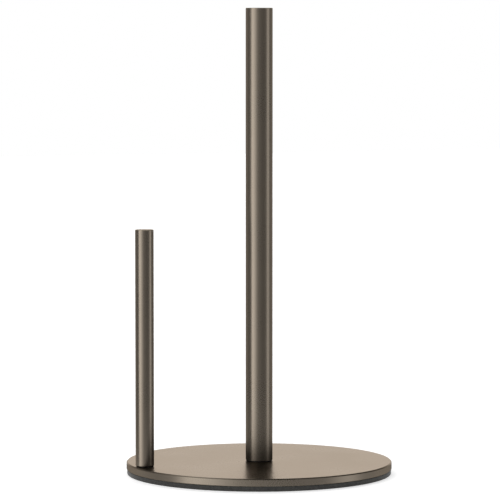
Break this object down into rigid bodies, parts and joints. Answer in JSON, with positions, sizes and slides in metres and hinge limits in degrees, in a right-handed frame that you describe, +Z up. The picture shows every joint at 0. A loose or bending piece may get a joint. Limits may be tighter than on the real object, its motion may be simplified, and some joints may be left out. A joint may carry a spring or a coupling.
{
  "type": "paper towel holder",
  "caption": "Free-standing kitchen roll holder: weighted round base on a non-slip pad, tall central post and a short side arm that stops the roll unwinding.",
  "frame": {"origin": "centre of the face it rests on, on the post's axis", "axes": "+Z up along the post; the short arm stands on the -X side; mirror symmetric across the XZ plane"},
  "size_m": [0.18, 0.18, 0.315],
  "materials": {
    "bronze_coated_steel": "satin",
    "foam_rubber": "fine closed-cell foam, matt",
    "adhesive_film": "thin translucent film",
    "nylon": "black, moulded",
    "zinc_plated_steel": "bright zinc",
    "black_steel": "blackened"
  },
  "bodies": {
    "root": {"base_plate": "bronze_coated_steel", "post_tube": "bronze_coated_steel", "post_cap": "bronze_coated_steel", "arm_tube": "bronze_coated_steel", "arm_cap": "bronze_coated_steel", "base_pad": "foam_rubber", "pad_film": "adhesive_film", "post_foot_ring": "nylon", "arm_foot_ring": "nylon", "post_plug": "zinc_plated_steel", "arm_plug": "zinc_plated_steel", "post_screw": "black_steel", "arm_screw": "black_steel"}
  },
  "joints": []
}
